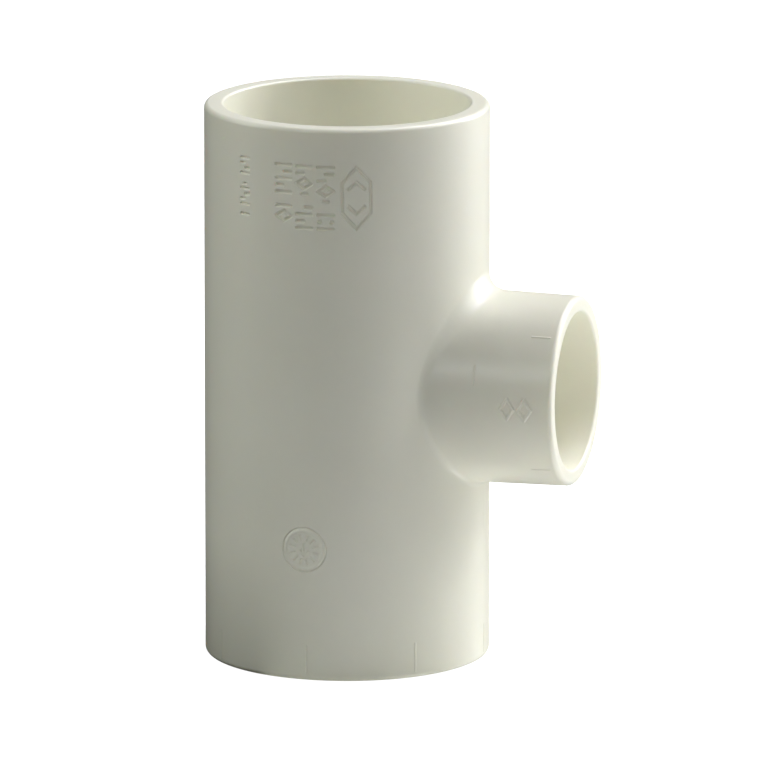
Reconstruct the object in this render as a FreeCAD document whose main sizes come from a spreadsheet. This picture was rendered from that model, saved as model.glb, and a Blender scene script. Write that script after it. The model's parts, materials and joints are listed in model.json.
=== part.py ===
"""Plain-socket reducing tee for 50 mm and 32 mm PVC-U pressure pipe, solvent welded.

The whole fitting is one injection moulding. Millimetres, +Z up along the run. The origin
is the centre of the lower socket's mouth, and the branch points along +X.
"""

import os

import FreeCAD, Part
import Sketcher
from FreeCAD import Placement, Rotation, Vector

Z_AXIS = Vector(0, 0, 1)
NEAR = 1e-3  # how closely an edge's measures must agree when it is looked up
RIB_SPACING = 45.0  # degrees between the lower socket's alignment ribs
BRANCH_RIB_SPACING = 90.0
AXIS_LENGTH = 10.0  # drawn length of a construction line
MOUTH_EDGES = 6  # an outer and an inner edge on each of three mouths

# name, value, meaning: lengths in millimetres
DIMENSIONS = [
    ("run_length", 114.0, "length of the run, end face to end face"),
    ("run_outer", 58.0, "outside diameter of the run"),
    ("run_bore", 50.2, "inside diameter of the sockets for 50 mm pipe"),
    ("run_depth", 31.0, "insertion depth of 50 mm pipe"),
    ("run_waterway", 46.0, "bore between the two pipe stops"),
    ("branch_reach", 48.6, "run axis to the branch's end face"),
    ("branch_outer", 38.6, "outside diameter at the branch's mouth"),
    ("branch_draft", 0.9, "mould draft of the branch's outside, in degrees"),
    ("branch_bore", 32.2, "inside diameter of the socket for 32 mm pipe"),
    ("branch_depth", 22.0, "insertion depth of 32 mm pipe"),
    ("branch_waterway", 28.0, "bore from the branch's pipe stop into the run"),
    ("blend_top", 4.2, "radius of the blend into the run, above the branch"),
    ("blend_bottom", 1.3, "radius of the blend into the run, below the branch"),
    ("rim_round", 1.0, "rounding on the outer edge of every mouth"),
    ("mouth_round", 0.5, "rounding on the inner edge of every mouth"),
    ("stop_round", 0.8, "rounding in the inside corner at every pipe stop"),
    ("rib_width", 0.3, "width of an alignment rib"),
    ("rib_height", 0.12, "how far an alignment rib stands proud"),
    ("run_rib", 6.1, "length of a rib at the lower socket"),
    ("run_rib_inset", 1.25, "lower end face to the near end of a rib"),
    ("branch_rib", 4.0, "length of a rib at the branch socket"),
    ("branch_rib_inset", 1.7, "branch's end face to the near end of a rib"),
]

BRANCH_HEIGHT = "sizes.run_length / 2"
BRANCH_ROOT_RADIUS = "sizes.branch_outer / 2 + sizes.branch_reach * tan(sizes.branch_draft * 1 deg)"

doc = FreeCAD.newDocument("pvc_tee")


def make_sheet():
    """The spreadsheet of driving dimensions."""
    sheet = doc.addObject("Spreadsheet::Sheet", "sizes")
    for row, (alias, value, meaning) in enumerate(DIMENSIONS, start=1):
        sheet.set(f"A{row}", alias)
        sheet.set(f"B{row}", str(value))
        sheet.set(f"C{row}", meaning)
        sheet.setAlias(f"B{row}", alias)
    doc.recompute()
    return sheet


def read_sizes():
    sheet = doc.getObject("sizes")
    return {alias: float(sheet.get(alias)) for alias, _, _ in DIMENSIONS}


def circles(shape, radius, axis, position):
    """Numbers of the circular edges of this radius, centred at this position along an axis."""
    return [
        number
        for number, edge in enumerate(shape.Edges, start=1)
        if isinstance(edge.Curve, Part.Circle)
        and abs(edge.Curve.Radius - radius) < NEAR
        and abs(edge.Curve.Center[axis] - position) < NEAR
        and abs(edge.Curve.Axis[axis]) > 1 - NEAR
    ]


def bind(target, expressions):
    for name, expression in expressions.items():
        target.setExpression(name, expression)


def sketch_on(body, role, name):
    """A new sketch on the body's own origin plane with this role, such as XY_Plane."""
    plane = next(feature for feature in body.Origin.OriginFeatures if feature.Role == role)
    sketch = body.newObject("Sketcher::SketchObject", name)
    sketch.AttachmentSupport = [(plane, "")]
    sketch.MapMode = "FlatFace"
    return sketch


def place_point(sketch, line, horizontal, vertical):
    """Bind the start of a line to a horizontal and a vertical expression, "0" for on the axis."""
    for kind, expression, axis in (("DistanceX", horizontal, -2), ("DistanceY", vertical, -1)):
        if expression == "0":
            sketch.addConstraint(Sketcher.Constraint("PointOnObject", line, 1, axis))
            continue
        start = sketch.getPoint(line, 1)
        value = start.x if kind == "DistanceX" else start.y
        index = sketch.addConstraint(Sketcher.Constraint(kind, -1, 1, line, 1, value))
        sketch.setExpression(f"Constraints[{index}]", expression)


def add_outline(sketch, corners):
    """A closed outline of straight lines through corners given as pairs of expressions."""
    points = [
        Vector(*(float(sketch.evalExpression(expression)) for expression in corner), 0)
        for corner in corners
    ]
    for start, end in zip(points, points[1:] + points[:1]):
        sketch.addGeometry(Part.LineSegment(start, end))
    count = len(points)
    for line in range(count):
        sketch.addConstraint(Sketcher.Constraint("Coincident", line, 2, (line + 1) % count, 1))
    for line, corner in enumerate(corners):
        place_point(sketch, line, *corner)


def add_axis(sketch, height):
    """A horizontal construction line at this height, to turn an outline about the branch's axis."""
    level = float(sketch.evalExpression(height))
    drawn = Part.LineSegment(Vector(0, level, 0), Vector(AXIS_LENGTH, level, 0))
    line = sketch.addGeometry(drawn, True)
    sketch.addConstraint(Sketcher.Constraint("Horizontal", line))
    sketch.addConstraint(Sketcher.Constraint("DistanceX", line, 1, line, 2, AXIS_LENGTH))
    place_point(sketch, line, "0", height)


def pad(body, sketch, name, length):
    feature = body.newObject("PartDesign::Pad", name)
    feature.Profile = sketch
    bind(feature, {"Length": length})
    return feature


def turn(body, sketch, name, axis):
    """Turn the sketch's outline once round its vertical axis or its own construction line."""
    feature = body.newObject("PartDesign::Revolution", name)
    feature.Profile = sketch
    feature.ReferenceAxis = (sketch, [axis])
    feature.Angle = 360
    return feature


def repeat_about_normal(body, feature, sketch, name, count, spacing):
    """Copies of the feature round the axis through its sketch's origin, a fixed angle apart."""
    pattern = body.newObject("PartDesign::PolarPattern", name)
    pattern.Originals = [feature]
    pattern.Axis = (sketch, ["N_Axis"])
    pattern.Occurrences = count
    pattern.Angle = spacing * (count - 1)
    body.Tip = pattern
    return pattern


def add_bar(sketch, half_length):
    """A thin rectangle centred on the sketch's origin: both its ends stand out as ribs."""
    half_width = "sizes.rib_width / 2"
    add_outline(
        sketch,
        [
            (f"-({half_length})", f"-({half_width})"),
            (half_length, f"-({half_width})"),
            (half_length, half_width),
            (f"-({half_length})", half_width),
        ],
    )


def make_outer_form():
    """The solid outside of the fitting: run, drafted branch, and the fine alignment ribs."""
    body = doc.addObject("PartDesign::Body", "outer_form")

    run_outline = sketch_on(body, "XZ_Plane", "run_outline")
    radius = "sizes.run_outer / 2"
    length = "sizes.run_length"
    add_outline(run_outline, [("0", "0"), (radius, "0"), (radius, length), ("0", length)])
    turn(body, run_outline, "run", "V_Axis")

    branch_outline = sketch_on(body, "XZ_Plane", "branch_outline")
    add_outline(
        branch_outline,
        [
            ("0", BRANCH_HEIGHT),
            ("sizes.branch_reach", BRANCH_HEIGHT),
            ("sizes.branch_reach", f"{BRANCH_HEIGHT} + sizes.branch_outer / 2"),
            ("0", f"{BRANCH_HEIGHT} + {BRANCH_ROOT_RADIUS}"),
        ],
    )
    add_axis(branch_outline, BRANCH_HEIGHT)
    turn(body, branch_outline, "branch", "Axis0")

    # a bar across the run makes two opposite ribs
    run_bar = sketch_on(body, "XY_Plane", "run_rib_bar")
    bind(run_bar, {"AttachmentOffset.Base.z": "sizes.run_rib_inset"})
    add_bar(run_bar, "sizes.run_outer / 2 + sizes.rib_height")
    run_rib = pad(body, run_bar, "run_rib", "sizes.run_rib")
    repeat_about_normal(body, run_rib, run_bar, "run_ribs", 4, RIB_SPACING)

    branch_bar = sketch_on(body, "YZ_Plane", "branch_rib_bar")
    branch_bar.AttachmentOffset = Placement(Vector(), Rotation(Z_AXIS, BRANCH_RIB_SPACING / 2))
    bind(
        branch_bar,
        {
            "AttachmentOffset.Base.y": BRANCH_HEIGHT,
            "AttachmentOffset.Base.z": (
                "sizes.branch_reach - sizes.branch_rib_inset - sizes.branch_rib"
            ),
        },
    )
    add_bar(branch_bar, "sizes.branch_outer / 2 + sizes.rib_height")
    branch_rib = pad(body, branch_bar, "branch_rib", "sizes.branch_rib")
    repeat_about_normal(body, branch_rib, branch_bar, "branch_ribs", 2, BRANCH_RIB_SPACING)
    doc.recompute()
    return body


def make_water_core():
    """All the inside of the fitting: the sockets, the pipe stops and the waterways."""
    body = doc.addObject("PartDesign::Body", "water_core")

    run_outline = sketch_on(body, "XZ_Plane", "run_core_outline")
    socket = "sizes.run_bore / 2"
    waterway = "sizes.run_waterway / 2"
    upper_stop = "sizes.run_length - sizes.run_depth"
    add_outline(
        run_outline,
        [
            ("0", "0"),
            (socket, "0"),
            (socket, "sizes.run_depth"),
            (waterway, "sizes.run_depth"),
            (waterway, upper_stop),
            (socket, upper_stop),
            (socket, "sizes.run_length"),
            ("0", "sizes.run_length"),
        ],
    )
    turn(body, run_outline, "run_core", "V_Axis")

    branch_outline = sketch_on(body, "XZ_Plane", "branch_core_outline")
    socket_top = f"{BRANCH_HEIGHT} + sizes.branch_bore / 2"
    waterway_top = f"{BRANCH_HEIGHT} + sizes.branch_waterway / 2"
    branch_stop = "sizes.branch_reach - sizes.branch_depth"
    add_outline(
        branch_outline,
        [
            ("0", BRANCH_HEIGHT),
            ("sizes.branch_reach", BRANCH_HEIGHT),
            ("sizes.branch_reach", socket_top),
            (branch_stop, socket_top),
            (branch_stop, waterway_top),
            ("0", waterway_top),
        ],
    )
    add_axis(branch_outline, BRANCH_HEIGHT)
    branch_core = turn(body, branch_outline, "branch_core", "Axis0")
    doc.recompute()

    size = read_sizes()
    run_radius = size["run_bore"] / 2
    upper_height = size["run_length"] - size["run_depth"]
    branch_place = size["branch_reach"] - size["branch_depth"]
    stops = circles(branch_core.Shape, run_radius, 2, size["run_depth"])
    stops += circles(branch_core.Shape, run_radius, 2, upper_height)
    stops += circles(branch_core.Shape, size["branch_bore"] / 2, 0, branch_place)
    rounding = body.newObject("PartDesign::Fillet", "stop_rounding")
    rounding.Base = (branch_core, [f"Edge{number}" for number in stops])
    bind(rounding, {"Radius": "sizes.stop_round"})
    doc.recompute()
    return body


def blend_branch(outer_form):
    """Blend the branch into the run, with a radius that shrinks from its top to its underside."""
    size = read_sizes()
    upper, lower = size["blend_top"], size["blend_bottom"]
    blended = doc.addObject("Part::Fillet", "blended_form")
    blended.Base = outer_form
    edges = []
    for number, edge in enumerate(outer_form.Shape.Edges, start=1):
        taller_than_mouth = edge.BoundBox.ZLength > size["branch_outer"]
        if taller_than_mouth and isinstance(edge.Curve, Part.BSplineCurve):
            starts_at_top = edge.valueAt(edge.FirstParameter).z > size["run_length"] / 2
            edges.append((number, upper, lower) if starts_at_top else (number, lower, upper))
    blended.Edges = edges
    doc.recompute()
    return blended


def round_mouths(bored_form):
    """Round the inner and outer edge of the three mouths."""
    size = read_sizes()
    mouths = [
        (2, 0.0, size["run_outer"], size["run_bore"]),
        (2, size["run_length"], size["run_outer"], size["run_bore"]),
        (0, size["branch_reach"], size["branch_outer"], size["branch_bore"]),
    ]
    edges = []
    for axis, position, outer, bore in mouths:
        for diameter, radius in ((outer, size["rim_round"]), (bore, size["mouth_round"])):
            found = circles(bored_form.Shape, diameter / 2, axis, position)
            edges += [(number, radius, radius) for number in found]
    finished = doc.addObject("Part::Fillet", "tee_body")
    finished.Base = bored_form
    finished.Edges = edges
    doc.recompute()
    return finished


def check_document(tee):
    """Stop on any failed object or unsound shape before anything is written."""
    for feature in doc.Objects:
        if {"Invalid", "Error"} & set(feature.State):
            raise RuntimeError(f"{feature.Name} failed: {feature.State}")
        shape = getattr(feature, "Shape", None)
        if shape is not None and shape.Faces and not shape.isValid():
            raise RuntimeError(f"{feature.Name} has an unsound shape")
    if tee.Shape.isNull() or not tee.Shape.isValid() or len(tee.Shape.Solids) != 1:
        raise RuntimeError("the tee isn't one sound solid")
    if len(tee.Edges) != MOUTH_EDGES:
        raise RuntimeError("a mouth's edge wasn't found")


make_sheet()
outer_form = make_outer_form()
water_core = make_water_core()
blended_form = blend_branch(outer_form)
bored_form = doc.addObject("Part::Cut", "bored_form")
bored_form.Base = blended_form
bored_form.Tool = water_core
doc.recompute()
tee_body = round_mouths(bored_form)
check_document(tee_body)

os.makedirs("parts", exist_ok=True)
tee_body.Shape.exportStep(f"parts/{tee_body.Label}.step")
print(tee_body.Label, "volume", round(tee_body.Shape.Volume), "box", tee_body.Shape.BoundBox)
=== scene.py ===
"""A moulded PVC-U reducing tee, 50 mm on the run and 32 mm on the branch.

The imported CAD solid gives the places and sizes. One finer mesh stands for it: the same walls,
blend and rounded edges on an even grid, with the shallow relief that the mould leaves on the
outside. Lengths in the mesh code are millimetres, and make_piece() turns them into metres.
"""

import json
import math

import bpy
import numpy as np
from mathutils import Matrix, Vector


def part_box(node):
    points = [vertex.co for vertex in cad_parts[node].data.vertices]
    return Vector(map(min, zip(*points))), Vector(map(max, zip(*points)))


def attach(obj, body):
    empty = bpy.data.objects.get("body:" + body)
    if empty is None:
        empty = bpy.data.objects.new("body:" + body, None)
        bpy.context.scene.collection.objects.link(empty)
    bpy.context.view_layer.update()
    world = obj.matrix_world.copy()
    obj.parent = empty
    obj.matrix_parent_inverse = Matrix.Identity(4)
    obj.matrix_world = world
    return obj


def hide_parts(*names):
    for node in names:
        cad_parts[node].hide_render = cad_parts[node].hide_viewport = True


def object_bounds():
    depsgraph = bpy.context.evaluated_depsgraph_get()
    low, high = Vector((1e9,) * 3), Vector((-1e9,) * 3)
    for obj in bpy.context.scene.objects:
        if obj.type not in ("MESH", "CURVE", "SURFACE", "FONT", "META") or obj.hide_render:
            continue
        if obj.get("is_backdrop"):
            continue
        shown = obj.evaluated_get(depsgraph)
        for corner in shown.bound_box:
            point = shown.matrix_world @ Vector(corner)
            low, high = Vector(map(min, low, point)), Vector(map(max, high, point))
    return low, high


MM = 0.001

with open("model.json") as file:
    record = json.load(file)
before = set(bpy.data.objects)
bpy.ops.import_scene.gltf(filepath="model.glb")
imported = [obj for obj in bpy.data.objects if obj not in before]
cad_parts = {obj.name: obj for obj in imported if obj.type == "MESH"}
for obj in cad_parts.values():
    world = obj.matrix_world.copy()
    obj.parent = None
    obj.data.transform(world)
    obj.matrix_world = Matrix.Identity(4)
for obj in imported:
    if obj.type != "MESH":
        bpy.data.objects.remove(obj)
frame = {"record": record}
cad_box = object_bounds()
mounts = {mount["name"]: mount for mount in frame["record"]["mounts"]}


def mount_place(name):
    return np.array(mounts[name]["pos_m"]) / MM


# ---------------------------------------------------------------- sizes, in millimetres

RIB_HEIGHT = 0.12  # alignment ribs, which the CAD box includes
RUN_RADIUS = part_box("tee_body")[1].y / MM - RIB_HEIGHT
RUN_LENGTH = mount_place("run_upper_socket")[2]
RUN_SOCKET = mounts["run_lower_socket"]["dims"]["r_mm"]
RUN_DEPTH = 31.0
RUN_WATERWAY = 23.0

BRANCH_REACH, _, BRANCH_HEIGHT = mount_place("branch_socket")
BRANCH_RADIUS = 19.3
BRANCH_DRAFT = math.radians(0.9)
BRANCH_SOCKET = mounts["branch_socket"]["dims"]["r_mm"]
BRANCH_DEPTH = 22.0
BRANCH_WATERWAY = 14.0

BLEND_TOP = 4.2  # radius of the blend above the branch
BLEND_BOTTOM = 1.3  # and below it
RIM_ROUND = 1.0  # outer edge of every mouth
MOUTH_ROUND = 0.5  # inner edge of every mouth
STOP_ROUND = 0.8  # corner at the bottom of every socket
WATERWAY_ROUND = 0.25  # edges of the waterways

RIB_WIDTH = 0.3
RUN_RIB = (1.25, 7.35)  # from the lower end
BRANCH_RIB = (BRANCH_REACH - 5.7, BRANCH_REACH - 1.7)

SUNK = 0.4  # depth of the marks on the run
MARK_WIDTH = 0.64
SMALL_MARK_WIDTH = 0.42
HEXAGON_WIDTH = 0.6
HEXAGON_PLACE = (10.3, 100.0)  # across and up on the unrolled run
HEXAGON_RADII = (3.3, 6.3)

RAISED = 0.12  # height of the dial's ring
DIAL_SUNK = 0.25  # depth of the rest of the dial
DIAL_PLACE = (-0.5, 27.15)  # across and up too
DIAL_RADIUS = 3.95
DIAL_SIDES = 40
DIAL_TICKS = 12

LOZENGE_HEIGHT = 0.32
LOZENGE_PLACES = (39.3, 43.0)  # along the branch
HAIRLINE_HEIGHT = 0.1
HAIRLINE_PLACE = 32.2  # along the branch

SEAM_WIDTH = 0.1  # the mould's parting line
SEAM_HEIGHT = 0.035
SEAM_INSET = 1.25  # from its ends to the end faces

# the run's walls are an even grid, with a window that the branch grows out of
WINDOW_ANGLE = math.radians(60)  # to either side of the branch
WINDOW_HEIGHT = 24.8  # above and below its axis
WINDOW_COLUMNS = 48
WINDOW_ROWS = 40
OTHER_COLUMNS = 96
OTHER_ROWS = 20

# how many steps the other stretches of wall are made in
EDGE_STEPS = 6  # round the rim and the mouth's edge
FACE_STEPS = 4  # across an end face
SOCKET_STEPS = 8
STOP_STEPS = 4  # round the corner of a stop
SHOULDER_STEPS = 2  # across a stop
WATERWAY_EDGE_STEPS = 3
WATERWAY_STEPS = 4
WINDOW_STEPS = 6  # from a window's outline to the branch
BLEND_STEPS = 10
BRANCH_STEPS = 16

FLANK = 0.24  # width of a mark's sloping edge
ON_WALL = 1e-4  # how near a point must be to count as on a wall
SPLIT_REACHES = (0.5, 0.5, 0.5, 0.12)  # how far each splitting reaches, in diagonals of a face
SLOPE_STEP = 0.01  # over which the relief's slope is measured
CENTRING_ROUNDS = 8  # that bring a rolling ball's centre to rest


# ---------------------------------------------------------------- outlines

def arc(centre, radius, start, end, steps, hollow=False):
    """Points and normals along a rounded edge, from one angle to another in radians."""
    side = -1 if hollow else 1
    rows = []
    for angle in np.linspace(start, end, steps + 1):
        direction = np.array([math.cos(angle), math.sin(angle)])
        rows.append((*(np.array(centre) + radius * direction), *(side * direction)))
    return rows


def straight(start, end, normal, steps):
    """Points and normals strictly between two ends."""
    start, end = np.array(start), np.array(end)
    return [(*(start + (end - start) * step / steps), *normal) for step in range(1, steps)]


def mouth_rows(outer, socket, depth, waterway, draft):
    """The section of a socket, from its outer rim over the mouth and down to the waterway.

    Each row is (along, radius, normal along, normal outwards), where along is measured from the
    end face and is negative inside the fitting.
    """
    quarter = math.pi / 2
    rim_centre = outer + RIM_ROUND * (math.tan(draft) - 1 / math.cos(draft))
    land = socket + MOUTH_ROUND
    lip = waterway + WATERWAY_ROUND
    rows = arc((-RIM_ROUND, rim_centre), RIM_ROUND, quarter - draft, 0, EDGE_STEPS)
    rows += straight((0, rim_centre), (0, land), (1, 0), FACE_STEPS)
    rows += arc((-MOUTH_ROUND, land), MOUTH_ROUND, 0, -quarter, EDGE_STEPS)
    rows += straight((-MOUTH_ROUND, socket), (STOP_ROUND - depth, socket), (0, -1), SOCKET_STEPS)
    inside_corner = (STOP_ROUND - depth, socket - STOP_ROUND)
    rows += arc(inside_corner, STOP_ROUND, quarter, math.pi, STOP_STEPS, hollow=True)
    rows += straight((-depth, socket - STOP_ROUND), (-depth, lip), (1, 0), SHOULDER_STEPS)
    rows += arc((-depth - WATERWAY_ROUND, lip), WATERWAY_ROUND, 0, -quarter, WATERWAY_EDGE_STEPS)
    return rows


# ---------------------------------------------------------------- the grid of the run

def run_levels():
    """Heights of the outer wall's rows, and of those in the window."""
    window = np.linspace(-WINDOW_HEIGHT, WINDOW_HEIGHT, WINDOW_ROWS + 1) + BRANCH_HEIGHT
    below = np.linspace(RIM_ROUND, window[0], OTHER_ROWS + 1)[1:-1]
    above = np.linspace(window[-1], RUN_LENGTH - RIM_ROUND, OTHER_ROWS + 1)[1:-1]
    return [*below, *window, *above], list(window)


def run_loop():
    """Rows (radius, height, outward normal, upward normal) once round the wall's section.

    Also returns the row numbers of the outer and of the inner window, both from low to high.
    """
    outer, window = run_levels()
    mouth = mouth_rows(RUN_RADIUS, RUN_SOCKET, RUN_DEPTH, RUN_WATERWAY, 0.0)
    upper = [(radius, RUN_LENGTH + along, out, up) for along, radius, up, out in mouth]
    lower = [(radius, -along, out, -up) for along, radius, up, out in reversed(mouth)]
    rows = [(RUN_RADIUS, level, 1.0, 0.0) for level in outer] + upper
    inner_top = len(rows)
    rows += [(RUN_WATERWAY, level, -1.0, 0.0) for level in reversed(window)] + lower
    first = outer.index(window[0])
    count = len(window)
    outer_rows = [first + i for i in range(count)]
    inner_rows = [inner_top + count - 1 - i for i in range(count)]
    return rows, outer_rows, inner_rows


def run_columns():
    """Angles of the columns about the run, from the branch's, with the window's columns first."""
    window = np.linspace(-WINDOW_ANGLE, WINDOW_ANGLE, WINDOW_COLUMNS + 1)
    rest = np.linspace(WINDOW_ANGLE, 2 * math.pi - WINDOW_ANGLE, OTHER_COLUMNS + 1)[1:-1]
    return np.concatenate([window, rest])


def window_edge(rows, columns):
    """The window's outline as (row, column) pairs, once round."""
    top, bottom = rows[-1], rows[0]
    edge = [(top, column) for column in range(columns)]
    edge += [(row, columns - 1) for row in reversed(rows[:-1])]
    edge += [(bottom, column) for column in reversed(range(columns - 1))]
    edge += [(row, 0) for row in rows[1:-1]]
    return edge


# ---------------------------------------------------------------- the branch, ring by ring

def unit(vectors):
    return vectors / np.linalg.norm(vectors, axis=-1, keepdims=True)


def on_run(radius, angle, height, side):
    """Points and normals on a wall about the run's axis. Side is 1 outside and -1 inside."""
    out = np.stack([np.cos(angle), np.sin(angle), np.zeros_like(angle)], -1)
    places = out * radius
    places[:, 2] = height
    return places, side * out


def on_branch(along, radius, turn, normal_along, normal_out):
    """Points and normals about the branch's axis. Turn is measured from the top towards -Y."""
    out = np.stack([np.zeros_like(turn), -np.sin(turn), np.cos(turn)], -1)
    axis = np.array([1.0, 0.0, 0.0])
    places = out * np.reshape(radius, (-1, 1)) + np.reshape(along, (-1, 1)) * axis
    places[:, 2] += BRANCH_HEIGHT
    return places, unit(normal_out * out + normal_along * axis)


def branch_wall_radius(along):
    return BRANCH_RADIUS + (BRANCH_REACH - along) * math.tan(BRANCH_DRAFT)


def ball_between(run_radius, run_reach, turn, branch_radius, branch_reach, tilt):
    """Centre and feet of a ball that touches the run's wall and the branch's wall.

    The reaches are the centre's distances from the two walls, which are negative for a ball that
    rolls inside the material. Returns its centre, its foot's angle and height on the run, and its
    foot's place along the branch.
    """
    along = np.full_like(turn, run_radius)
    for _ in range(CENTRING_ROUNDS):
        radial = branch_radius(along) + branch_reach * math.cos(tilt)
        reach = np.sqrt((run_radius + run_reach) ** 2 - (radial * np.sin(turn)) ** 2)
        along = reach - branch_reach * math.sin(tilt)
    centre, _ = on_branch(reach, radial, turn, 0.0, 1.0)
    return centre, np.arctan2(centre[:, 1], centre[:, 0]), centre[:, 2], along


def rolled(centre, reach, start_normal, end_normal, steps):
    """Rings round a ball from one foot to the other, without the feet themselves."""
    rings = []
    angle = np.arccos(np.clip(np.sum(start_normal * end_normal, -1), -1, 1))[:, None]
    for share in np.arange(1, steps) / steps:
        blend = np.sin((1 - share) * angle) * start_normal + np.sin(share * angle) * end_normal
        normal = unit(blend)
        rings.append((centre - np.reshape(reach, (-1, 1)) * normal, normal))
    return rings


def branch_rings(turn, outer_edge, inner_edge):
    """Every ring of the branch, from the outer window over the mouth and back to the inner one.

    The edges are the windows' (angles, heights) on the run.
    """
    rings = []
    share_of_turn = np.abs((turn + math.pi) % (2 * math.pi) - math.pi) / math.pi
    blend = BLEND_TOP + (BLEND_BOTTOM - BLEND_TOP) * share_of_turn
    centre, angle, height, foot = ball_between(
        RUN_RADIUS, blend, turn, branch_wall_radius, blend, BRANCH_DRAFT
    )
    for share in np.arange(1, WINDOW_STEPS + 1) / WINDOW_STEPS:
        rings.append(
            on_run(
                RUN_RADIUS,
                outer_edge[0] + (angle - outer_edge[0]) * share,
                outer_edge[1] + (height - outer_edge[1]) * share,
                1,
            )
        )
    tilt = (math.sin(BRANCH_DRAFT), math.cos(BRANCH_DRAFT))
    wall = on_branch(foot, branch_wall_radius(foot), turn, *tilt)
    rings += rolled(centre, blend, rings[-1][1], wall[1], BLEND_STEPS)

    mouth = mouth_rows(BRANCH_RADIUS, BRANCH_SOCKET, BRANCH_DEPTH, BRANCH_WATERWAY, BRANCH_DRAFT)
    wall_end = BRANCH_REACH + mouth[0][0]
    for share in np.arange(0, BRANCH_STEPS) / BRANCH_STEPS:
        along = foot + (wall_end - foot) * share
        rings.append(on_branch(along, branch_wall_radius(along), turn, *tilt))
    for along, radius, normal_along, normal_out in mouth:
        rings.append(on_branch(BRANCH_REACH + along, radius, turn, normal_along, normal_out))

    centre, angle, height, foot = ball_between(
        RUN_WATERWAY, WATERWAY_ROUND, turn, lambda along: BRANCH_WATERWAY, WATERWAY_ROUND, 0.0
    )
    start = BRANCH_REACH + mouth[-1][0]
    for share in np.arange(1, WATERWAY_STEPS + 1) / WATERWAY_STEPS:
        rings.append(on_branch(start + (foot - start) * share, BRANCH_WATERWAY, turn, 0.0, -1.0))
    run_wall = on_run(RUN_WATERWAY, angle, height, -1)
    rings += rolled(centre, -WATERWAY_ROUND, rings[-1][1], run_wall[1], WATERWAY_EDGE_STEPS)
    for share in np.arange(0, WINDOW_STEPS) / WINDOW_STEPS:
        rings.append(
            on_run(
                RUN_WATERWAY,
                angle + (inner_edge[0] - angle) * share,
                height + (inner_edge[1] - height) * share,
                -1,
            )
        )
    return rings


# ---------------------------------------------------------------- the whole wall

def run_quads(add):
    """The run's own walls, as four-cornered faces, and the outlines of its two windows.

    An outline is (points, angles, heights) once round.
    """
    rows, *windows = run_loop()
    columns = run_columns()
    limits = [(min(window), max(window)) for window in windows]

    def is_open(row, column, edge):
        """Whether a point, or the face that starts there, lies in a window."""
        across = edge <= column < WINDOW_COLUMNS
        return across and any(low + edge <= row < high for low, high in limits)

    grid = {}
    for row, (radius, height, out, up) in enumerate(rows):
        for column, angle in enumerate(columns):
            if not is_open(row, column, 1):
                cosine, sine = math.cos(angle), math.sin(angle)
                grid[row, column] = add(
                    (radius * cosine, radius * sine, height), (out * cosine, out * sine, up)
                )

    quads = []
    for row in range(len(rows)):
        above = (row + 1) % len(rows)
        for column in range(len(columns)):
            if not is_open(row, column, 0):
                beside = (column + 1) % len(columns)
                corners = [(row, column), (row, beside), (above, beside), (above, column)]
                quads.append([grid[corner] for corner in corners])

    outlines = []
    for window in windows:
        edge = window_edge(window, WINDOW_COLUMNS + 1)
        angles = np.array([columns[column] for _, column in edge])
        heights = np.array([rows[row][1] for row, _ in edge])
        outlines.append(([grid[corner] for corner in edge], angles, heights))
    return quads, outlines


def build_quads():
    """The fitting's whole closed surface, smooth: points, their exact normals and faces."""
    places, normals = [], []

    def add(place, normal):
        places.append(place)
        normals.append(normal)
        return len(places) - 1

    quads, (outer, inner) = run_quads(add)
    turn = np.arctan2(-RUN_RADIUS * np.sin(outer[1]), outer[2] - BRANCH_HEIGHT)
    loops = [outer[0]]
    for ring in branch_rings(turn, outer[1:], inner[1:]):
        loops.append([add(place, normal) for place, normal in zip(*ring)])
    loops.append(inner[0])
    for near, far in zip(loops, loops[1:]):
        for first in range(len(near)):
            second = (first + 1) % len(near)
            quads.append([near[first], near[second], far[second], far[first]])

    places, normals, quads = np.array(places), np.array(normals), np.array(quads)
    corners = places[quads]
    facing = np.cross(corners[:, 2] - corners[:, 0], corners[:, 3] - corners[:, 1])
    inwards = np.sum(facing * normals[quads].sum(axis=1), axis=1) < 0
    quads[inwards] = quads[inwards][:, ::-1]
    return places, normals, quads


# ---------------------------------------------------------------- the relief, on unrolled walls

def bars(*lines, width, height):
    """Strokes (x0, y0, x1, y1, width, height) from lines of (x0, y0, x1, y1)."""
    return [(*line, width, height) for line in lines]


def outline(corners, width, height):
    """Strokes along a closed polygon."""
    return [
        (*start, *end, width, height) for start, end in zip(corners, [*corners[1:], corners[0]])
    ]


def polygon(x, y, radius_x, radius_y, sides, turn=0.0):
    angles = [turn + 2 * math.pi * side / sides for side in range(sides)]
    return [(x + radius_x * math.cos(a), y + radius_y * math.sin(a)) for a in angles]


def tally(left, right, top, pitch, pattern, width):
    """A column of sunk marks, one under another.

    F is a bar across the whole column, L and R reach in from its left or right side, C is short
    and central, D is a pair of dots, B is a lozenge two rows high, and - leaves a row out.
    """
    middle, span = (left + right) / 2, right - left
    strokes = []
    for row, mark in enumerate(pattern):
        y = top - row * pitch
        if mark == "F":
            strokes += bars((left, y, right, y), width=width, height=-SUNK)
        elif mark == "L":
            strokes += bars((left, y, left + 0.45 * span, y), width=width, height=-SUNK)
        elif mark == "R":
            strokes += bars((right - 0.45 * span, y, right, y), width=width, height=-SUNK)
        elif mark == "C":
            half = 0.16 * span
            strokes += bars((middle - half, y, middle + half, y), width=width, height=-SUNK)
        elif mark == "D":
            for x in (left + 0.1 * span, right - 0.1 * span):
                strokes += bars((x - 0.05, y, x + 0.05, y), width=1.3 * width, height=-SUNK)
        elif mark == "B":
            corners = polygon(middle, y - 0.5 * pitch, 0.5 * span, 0.72 * pitch, 4)
            strokes += outline(corners, width, -SUNK)
    return strokes


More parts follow.
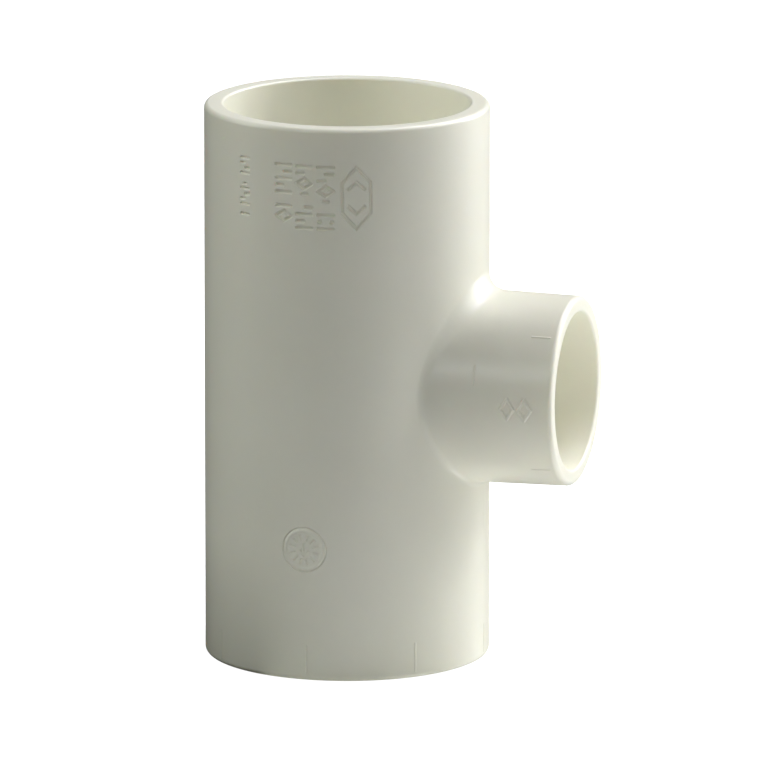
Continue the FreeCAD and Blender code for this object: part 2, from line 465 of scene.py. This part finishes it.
def hexagon_strokes():
    """A hexagon with a chevron near its top and another near its foot."""
    x, y = HEXAGON_PLACE
    strokes = outline(polygon(x, y, *HEXAGON_RADII, 6, math.pi / 2), HEXAGON_WIDTH, -SUNK)
    for side in (-1, 1):
        for across in (-1.6, 1.6):
            arm = (x + across, y + 1.8 * side, x, y + 3.3 * side)
            strokes += bars(arm, width=HEXAGON_WIDTH, height=-SUNK)
    return strokes


def dial_strokes():
    """A raised ring with a groove round it, and sunk ticks and an arrow inside."""
    x, y = DIAL_PLACE
    groove = DIAL_RADIUS + 0.6
    strokes = outline(polygon(x, y, DIAL_RADIUS, DIAL_RADIUS, DIAL_SIDES), 0.5, RAISED)
    strokes += outline(polygon(x, y, groove, groove, DIAL_SIDES), 0.24, -DIAL_SUNK)
    near, far = 0.52 * DIAL_RADIUS, 0.76 * DIAL_RADIUS
    for tick in range(DIAL_TICKS):
        angle = 2 * math.pi * (tick + 0.5) / DIAL_TICKS
        across, up = math.cos(angle), math.sin(angle)
        line = (x + near * across, y + near * up, x + far * across, y + far * up)
        strokes += bars(line, width=0.4, height=-DIAL_SUNK)
    for end_x, end_y in ((0.0, 1.2), (-0.8, -0.3), (0.8, -0.3)):
        line = (x, y - 1.2, x + end_x, y + end_y)
        strokes += bars(line, width=0.5, height=-DIAL_SUNK)
    return strokes


def seam_strokes(*lines):
    return bars(*lines, width=SEAM_WIDTH, height=SEAM_HEIGHT)


def rib_stroke(x, ends):
    near, far = ends
    line = (x, near + RIB_WIDTH / 2, x, far - RIB_WIDTH / 2)
    return bars(line, width=RIB_WIDTH, height=RIB_HEIGHT)


def run_strokes():
    """Strokes on the run. Across is the arc length from the front line, up is the height."""
    strokes = []
    strokes += tally(-15.6, -13.3, 106.6, 1.05, "FLRF-CFRLF-F", SMALL_MARK_WIDTH)
    strokes += tally(-6.4, -3.2, 106.3, 1.4, "FRFLF-FB", MARK_WIDTH)
    strokes += tally(-1.9, 1.2, 106.2, 1.4, "FLB-C-RFLF", MARK_WIDTH)
    strokes += tally(2.5, 5.6, 106.2, 1.4, "FRLB-C-FDF", MARK_WIDTH)
    strokes += hexagon_strokes()
    strokes += dial_strokes()

    quarter = RUN_RADIUS * math.pi / 4
    for rib in range(-3, 5):
        strokes += rib_stroke(rib * quarter, RUN_RIB)

    foot, head = SEAM_INSET, RUN_LENGTH - SEAM_INSET
    below = BRANCH_HEIGHT - BRANCH_RADIUS - 4.0
    above = BRANCH_HEIGHT + BRANCH_RADIUS + 7.0
    far_side, branch_side = -2 * quarter, 2 * quarter
    strokes += seam_strokes(
        (far_side, foot, far_side, head),
        (branch_side, foot, branch_side, below),
        (branch_side, above, branch_side, head),
    )
    return strokes


def branch_strokes():
    """Strokes on the branch. Across is the arc length from its top line, up is along it."""
    degree = BRANCH_RADIUS * math.pi / 180
    strokes = []
    for angle in (45, 135, -135, -45):
        strokes += rib_stroke(angle * degree, BRANCH_RIB)
    hairline = (66 * degree, HAIRLINE_PLACE, 78 * degree, HAIRLINE_PLACE)
    strokes += bars(hairline, width=0.22, height=HAIRLINE_HEIGHT)
    outer_end = BRANCH_REACH - SEAM_INSET
    under = 180 * degree
    strokes += seam_strokes(
        (0.0, 35.0, 0.0, outer_end),
        (under, 32.5, under, outer_end),
        (-under, 32.5, -under, outer_end),
    )
    for place in LOZENGE_PLACES:
        lozenge = polygon(91 * degree, place, 2.1, 1.3, 4)
        strokes += outline(lozenge, width=0.55, height=LOZENGE_HEIGHT)
    return strokes


def relief(points, strokes):
    """Height of the relief at each point, and the point's distance to the nearest sloping edge."""
    across, up = points[:, 0, None], points[:, 1, None]
    x0, y0, x1, y1, width, height = np.array(strokes).T
    run, rise = x1 - x0, y1 - y0
    share = ((across - x0) * run + (up - y0) * rise) / (run * run + rise * rise)
    share = np.clip(share, 0.0, 1.0)
    beyond = np.hypot(across - x0 - share * run, up - y0 - share * rise) - width / 2
    level = np.clip(0.5 - beyond / FLANK, 0.0, 1.0)
    level = level * level * (3 - 2 * level) * height
    strongest = np.argmax(np.abs(level), axis=1)
    return level[np.arange(len(points)), strongest], np.min(np.abs(beyond), axis=1)


class RunWall:
    """The run's outer wall, unrolled from the line that faces -Y. Up is the height."""

    strokes = run_strokes()

    def holds(places):
        return np.abs(np.hypot(places[:, 0], places[:, 1]) - RUN_RADIUS) < ON_WALL

    def unroll(places):
        x, y, z = places.T
        return np.stack([RUN_RADIUS * np.arctan2(x, -y), z], -1)

    def settle(places):
        places = places.copy()
        places[:, :2] *= RUN_RADIUS / np.hypot(places[:, 0], places[:, 1])[:, None]
        return places

    def directions(places):
        """Outwards, across and up at each point."""
        x, y, _ = unit(places * [1, 1, 0]).T
        zero = np.zeros_like(x)
        out, across = np.stack([x, y, zero], -1), np.stack([-y, x, zero], -1)
        return out, across, np.broadcast_to([0.0, 0.0, 1.0], out.shape)


class BranchWall:
    """The branch's outer wall, unrolled from its top line. Up is the place along the branch."""

    strokes = branch_strokes()

    def holds(places):
        x, y, z = places.T
        reach = np.hypot(y, z - BRANCH_HEIGHT) - branch_wall_radius(x)
        return (x > RUN_RADIUS) & (np.abs(reach) < ON_WALL)

    def unroll(places):
        x, y, z = places.T
        return np.stack([BRANCH_RADIUS * np.arctan2(-y, z - BRANCH_HEIGHT), x], -1)

    def settle(places):
        x, y, z = places.T
        scale = branch_wall_radius(x) / np.hypot(y, z - BRANCH_HEIGHT)
        return np.stack([x, y * scale, BRANCH_HEIGHT + (z - BRANCH_HEIGHT) * scale], -1)

    def directions(places):
        """Outwards, across and up at each point."""
        _, y, z = unit((places - [0, 0, BRANCH_HEIGHT]) * [0, 1, 1]).T
        zero = np.zeros_like(y)
        sine, cosine = math.sin(BRANCH_DRAFT), math.cos(BRANCH_DRAFT)
        out = np.stack([zero + sine, y * cosine, z * cosine], -1)
        up = np.stack([zero + cosine, -y * sine, -z * sine], -1)
        return out, np.stack([zero, -z, y], -1), up


def split_near_relief(places, normals, quads):
    """Splits the quads near the relief's edges in four, several times over.

    Returns the points, the normals, and faces that take in the points on their neighbours' sides.
    """
    halves = {}
    finished = list(map(tuple, quads))
    for wall in (RunWall, BranchWall):
        held = wall.holds(places)
        current = [quad for quad in finished if all(held[corner] for corner in quad)]
        chosen = set(current)
        finished = [quad for quad in finished if quad not in chosen]
        for reach in SPLIT_REACHES:
            corners = places[np.array(current)]
            size = np.linalg.norm(corners[:, 2] - corners[:, 0], axis=1)
            _, distance = relief(wall.unroll(corners.mean(axis=1)), wall.strokes)
            near = distance < FLANK / 2 + reach * size
            finished += [quad for quad, split in zip(current, near) if not split]
            parents, children = [], []

            def middle(first, second):
                key = (min(first, second), max(first, second))
                if key not in halves:
                    halves[key] = len(places) + len(parents)
                    parents.append(key)
                return halves[key]

            for (a, b, c, d), split in zip(current, near):
                if split:
                    ab, bc, cd, da = middle(a, b), middle(b, c), middle(c, d), middle(d, a)
                    centre = middle(ab, cd)
                    children += [(a, ab, centre, da), (ab, b, bc, centre)]
                    children += [(centre, bc, c, cd), (da, centre, cd, d)]
            new_places = list(places)
            for first, second in parents:
                new_places.append((new_places[first] + new_places[second]) / 2)
            added = wall.settle(np.array(new_places[len(places):]))
            places = np.concatenate([places, added])
            normals = np.concatenate([normals, wall.directions(added)[0]])
            current = children
        finished += current

    def side(first, second):
        """The points along a side from its first corner, without its second."""
        key = (min(first, second), max(first, second))
        if key not in halves:
            return [first]
        return side(first, halves[key]) + side(halves[key], second)

    faces = []
    for quad in finished:
        faces.append([point for pair in zip(quad, quad[1:] + quad[:1]) for point in side(*pair)])
    return places, normals, faces


def emboss(places, normals):
    """Moves the points of both walls by the height of the relief, and tilts their normals."""
    for wall in (RunWall, BranchWall):
        chosen = np.flatnonzero(wall.holds(places))
        spots = wall.unroll(places[chosen])
        height = relief(spots, wall.strokes)[0]
        slopes = []
        for shift in ([SLOPE_STEP, 0.0], [0.0, SLOPE_STEP]):
            rise = relief(spots + shift, wall.strokes)[0] - relief(spots - shift, wall.strokes)[0]
            slopes.append(rise[:, None] / (2 * SLOPE_STEP))
        out, across, up = wall.directions(places[chosen])
        places[chosen] += out * height[:, None]
        normals[chosen] = unit(out - across * slopes[0] - up * slopes[1])
    return places, normals


def make_piece():
    places, normals, faces = split_near_relief(*build_quads())
    places, normals = emboss(places, normals)
    data = bpy.data.meshes.new("moulded_wall")
    data.from_pydata(places * MM, [], faces)
    data.polygons.foreach_set("use_smooth", [True] * len(faces))
    data.normals_split_custom_set_from_vertices(normals)
    piece = bpy.data.objects.new("moulded_wall", data)
    bpy.context.scene.collection.objects.link(piece)
    return piece


# ---------------------------------------------------------------- material

def pvc_material():
    """Warm off-white moulded PVC: semi-gloss, faintly cloudy, with a fine satin unevenness."""
    material = bpy.data.materials.new("satin_pvc")
    material.use_nodes = True
    nodes, links = material.node_tree.nodes, material.node_tree.links
    shader = nodes["Principled BSDF"]
    place = nodes.new("ShaderNodeTexCoord").outputs["Object"]

    def noise(scale, detail):
        node = nodes.new("ShaderNodeTexNoise")
        node.inputs["Scale"].default_value = scale
        node.inputs["Detail"].default_value = detail
        links.new(place, node.inputs["Vector"])
        return node.outputs["Fac"]

    def spread(value, low, high):
        node = nodes.new("ShaderNodeMapRange")
        node.inputs["From Min"].default_value = 0.3
        node.inputs["From Max"].default_value = 0.7
        node.inputs["To Min"].default_value = low
        node.inputs["To Max"].default_value = high
        links.new(value, node.inputs["Value"])
        return node.outputs["Result"]

    cloud = nodes.new("ShaderNodeMix")
    cloud.data_type = "RGBA"
    cloud.inputs["A"].default_value = (0.828, 0.822, 0.703, 1)
    cloud.inputs["B"].default_value = (0.858, 0.852, 0.735, 1)
    links.new(spread(noise(38, 3), 0, 1), cloud.inputs["Factor"])
    links.new(cloud.outputs["Result"], shader.inputs["Base Color"])
    links.new(spread(noise(240, 4), 0.285, 0.33), shader.inputs["Roughness"])

    bump = nodes.new("ShaderNodeBump")
    bump.inputs["Strength"].default_value = 0.05
    bump.inputs["Distance"].default_value = 0.0002
    links.new(noise(900, 3), bump.inputs["Height"])
    links.new(bump.outputs["Normal"], shader.inputs["Normal"])

    shader.inputs["IOR"].default_value = 1.53
    shader.inputs["Subsurface Weight"].default_value = 0.15
    shader.inputs["Subsurface Radius"].default_value = (1.0, 0.8, 0.45)
    shader.inputs["Subsurface Scale"].default_value = 0.003
    return material


def matt(name, colour, glow=0.0):
    """A plain matt surface, which may glow as a lit table does."""
    material = bpy.data.materials.new(name)
    material.use_nodes = True
    shader = material.node_tree.nodes["Principled BSDF"]
    shader.inputs["Base Color"].default_value = (*colour, 1)
    shader.inputs["Roughness"].default_value = 1.0
    shader.inputs["Specular IOR Level"].default_value = 0.0
    shader.inputs["Emission Color"].default_value = (1, 1, 1, 1)
    shader.inputs["Emission Strength"].default_value = glow
    material.cycles.emission_sampling = "NONE"
    return material


piece = make_piece()
piece.data.materials.append(pvc_material())
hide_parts("tee_body")
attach(piece, "root")


# ---------------------------------------------------------------- studio, in metres

CAMERA_AZIMUTH = math.radians(16.5)  # from -Y towards +X
CAMERA_ELEVATION = math.radians(12.41)
CAMERA_DISTANCE = 2.7
SENSOR_WIDTH = 36  # mm
CAMERA_LENS = SENSOR_WIDTH * 17.26
CAMERA_AIM = (0.0075, 0.0554)  # to the right and up from the run's axis at the floor

OBJECT_MIDDLE = Vector((0.008, 0.0, 0.057))
BRANCH_INSIDE = Vector((0.040, 0.006, 0.057))

WHITE = (1.0, 1.0, 1.0)
BLACK = (0.0, 0.0, 0.0)
TABLE_GREY = (0.5, 0.5, 0.5)
CARD_GREY = (0.8, 0.8, 0.8)

FLAT = 3.4  # radius of the level floor
SWEEP = 1.0  # radius of its curve up into the wall
WALL_TOP = 4.0
ROUND_SIDES = 96

CARD_RADII = (0.2, 0.44)
CARD_HEIGHT = -0.0002  # just under the floor
CARD_AWAY = (72, 0.43)  # azimuth in degrees and distance of the card's middle

FLAG_AZIMUTHS = range(-150, -59, 10)  # degrees
FLAG_RADIUS = 0.068
FLAG_HEIGHTS = (0.0005, 0.026)


def towards(azimuth, elevation=0.0):
    """A direction from angles in degrees. Azimuth is measured from the camera to its right."""
    turn, tilt = CAMERA_AZIMUTH + math.radians(azimuth), math.radians(elevation)
    flat = math.cos(tilt)
    return Vector((math.sin(turn) * flat, -math.cos(turn) * flat, math.sin(tilt)))


def add_stage(name, points, faces, material, smooth):
    data = bpy.data.meshes.new(name)
    data.from_pydata(points, [], faces)
    data.polygons.foreach_set("use_smooth", [smooth] * len(faces))
    data.materials.append(material)
    surface = bpy.data.objects.new(name, data)
    bpy.context.scene.collection.objects.link(surface)
    surface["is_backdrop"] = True
    return surface


def round_surface(name, profile, material, centre=Vector()):
    """A surface of revolution about an upright line from (radius, height) pairs."""
    sides = ROUND_SIDES
    angles = [2 * math.pi * side / sides for side in range(sides)]
    points = [
        (centre.x + radius * math.cos(angle), centre.y + radius * math.sin(angle), height)
        for radius, height in profile
        for angle in angles
    ]
    faces = [tuple(range(sides))]
    for ring in range(len(profile) - 1):
        for side in range(sides):
            beside = (side + 1) % sides
            near, far = ring * sides, (ring + 1) * sides
            faces.append((near + side, far + side, far + beside, near + beside))
    return add_stage(name, points, faces, material, True)


def add_floor():
    """The floor that is seen: a pale lit table that sweeps up all round into a pale wall."""
    profile = [(0.5, 0.0), (FLAT, 0.0)]
    for degrees in range(10, 91, 10):
        rise = math.radians(degrees)
        profile.append((FLAT + SWEEP * math.sin(rise), SWEEP * (1 - math.cos(rise))))
    profile.append((FLAT + SWEEP, WALL_TOP))
    floor = round_surface("floor", profile, matt("studio_floor", TABLE_GREY, glow=0.9))
    floor.visible_diffuse = False
    floor.visible_glossy = False
    floor.visible_shadow = False


def add_card():
    """The card that throws light back up from the right, as a matt table would. It isn't seen."""
    azimuth, distance = CARD_AWAY
    centre = towards(azimuth) * distance
    profile = [(radius, CARD_HEIGHT) for radius in CARD_RADII]
    card = round_surface("bounce_card", profile, matt("card", CARD_GREY), centre)
    card.visible_camera = False
    card.visible_glossy = False
    card.visible_shadow = False


def add_flag():
    """A low black strip that keeps the left lights off the foot of the run. It isn't seen."""
    around = [towards(azimuth) * FLAG_RADIUS for azimuth in FLAG_AZIMUTHS]
    points = [(place.x, place.y, height) for height in FLAG_HEIGHTS for place in around]
    count = len(around)
    faces = [(i, i + 1, count + i + 1, count + i) for i in range(count - 1)]
    flag = add_stage("shade_flag", points, faces, matt("flag", BLACK), False)
    flag.visible_camera = False
    flag.visible_diffuse = False
    flag.visible_glossy = False


def soft_light(
    name, azimuth, elevation, size, power, colour=WHITE, distance=0.9, aim=OBJECT_MIDDLE, spread=180
):
    """A square softbox. Its azimuth and elevation are seen from the point that it is aimed at."""
    light = bpy.data.lights.new(name, "AREA")
    light.size = size
    light.energy = power
    light.color = colour
    light.spread = math.radians(spread)
    away = towards(azimuth, elevation)
    lamp = bpy.data.objects.new(name, light)
    lamp.location = aim + away * distance
    lamp.rotation_euler = away.to_track_quat("Z", "Y").to_euler()
    bpy.context.scene.collection.objects.link(lamp)


def add_lights():
    """Soft lights round the fitting: azimuth, elevation, size in metres, watts and tint."""
    soft_light("left_low", -90, 10, 0.4, 1.01, (0.99, 1.0, 1.01))
    soft_light("back_right_low", 120, 10, 0.4, 2.58, (0.99, 1.0, 1.08))
    soft_light("left", -90, 35, 0.4, 1.88, (0.96, 1.0, 0.94))
    soft_light("front_high", 0, 45, 0.4, 0.70, (0.97, 1.0, 0.95))
    soft_light("right", 90, 35, 0.4, 1.35, (0.98, 1.0, 1.02))
    soft_light("back_right_large", 120, 40, 0.8, 4.82, (1.01, 1.0, 0.99))
    soft_light("back_right_high", 120, 65, 0.4, 2.66, (1.02, 1.0, 1.16))
    soft_light("right_from_below", 90, -60, 0.4, 1.71, (0.99, 1.0, 0.94))
    soft_light("back_right_from_below", 130, -28, 0.4, 0.41, (1.0, 1.0, 1.02))
    soft_light("back_right_small", 120, 35, 0.15, 1.85, (1.0, 1.0, 0.99))
    soft_light("band_on_branch", -35, 28, 0.22, 0.85, (0.97, 1.0, 1.0))
    soft_light("back_left", -120, 35, 0.4, 0.52, (0.99, 1.0, 0.94))
    soft_light(
        "mouth_fill", 46, 0, 0.03, 0.0005, (1.0, 0.98, 0.92),
        distance=0.08, aim=BRANCH_INSIDE, spread=24,
    )


def add_world():
    world = bpy.data.worlds.new("studio")
    world.use_nodes = True
    background = world.node_tree.nodes["Background"]
    background.inputs["Color"].default_value = (*WHITE, 1)
    background.inputs["Strength"].default_value = 0.02
    bpy.context.scene.world = world
    bpy.context.scene.view_settings.view_transform = "Standard"


def add_camera():
    """A long lens, a little above the fitting and turned towards the branch's mouth."""
    sine, cosine = math.sin(CAMERA_AZIMUTH), math.cos(CAMERA_AZIMUTH)
    flat, up = math.cos(CAMERA_ELEVATION), math.sin(CAMERA_ELEVATION)
    away = Vector((sine * flat, -cosine * flat, up))
    right = Vector((cosine, sine, 0.0))
    across, height = CAMERA_AIM
    camera = bpy.data.objects.new("camera", bpy.data.cameras.new("camera"))
    camera.data.lens = CAMERA_LENS
    camera.data.sensor_width = SENSOR_WIDTH
    camera.location = right * across + Vector((0, 0, height)) + away * CAMERA_DISTANCE
    upward = away.cross(right)
    camera.rotation_euler = Matrix((right, upward, away)).transposed().to_euler()
    bpy.context.scene.collection.objects.link(camera)
    bpy.context.scene.camera = camera


add_floor()
add_card()
add_flag()
add_lights()
add_world()
add_camera()

boxes = {"cad": cad_box, "visual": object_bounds()}
{name: [list(corner) for corner in box] for name, box in boxes.items()}
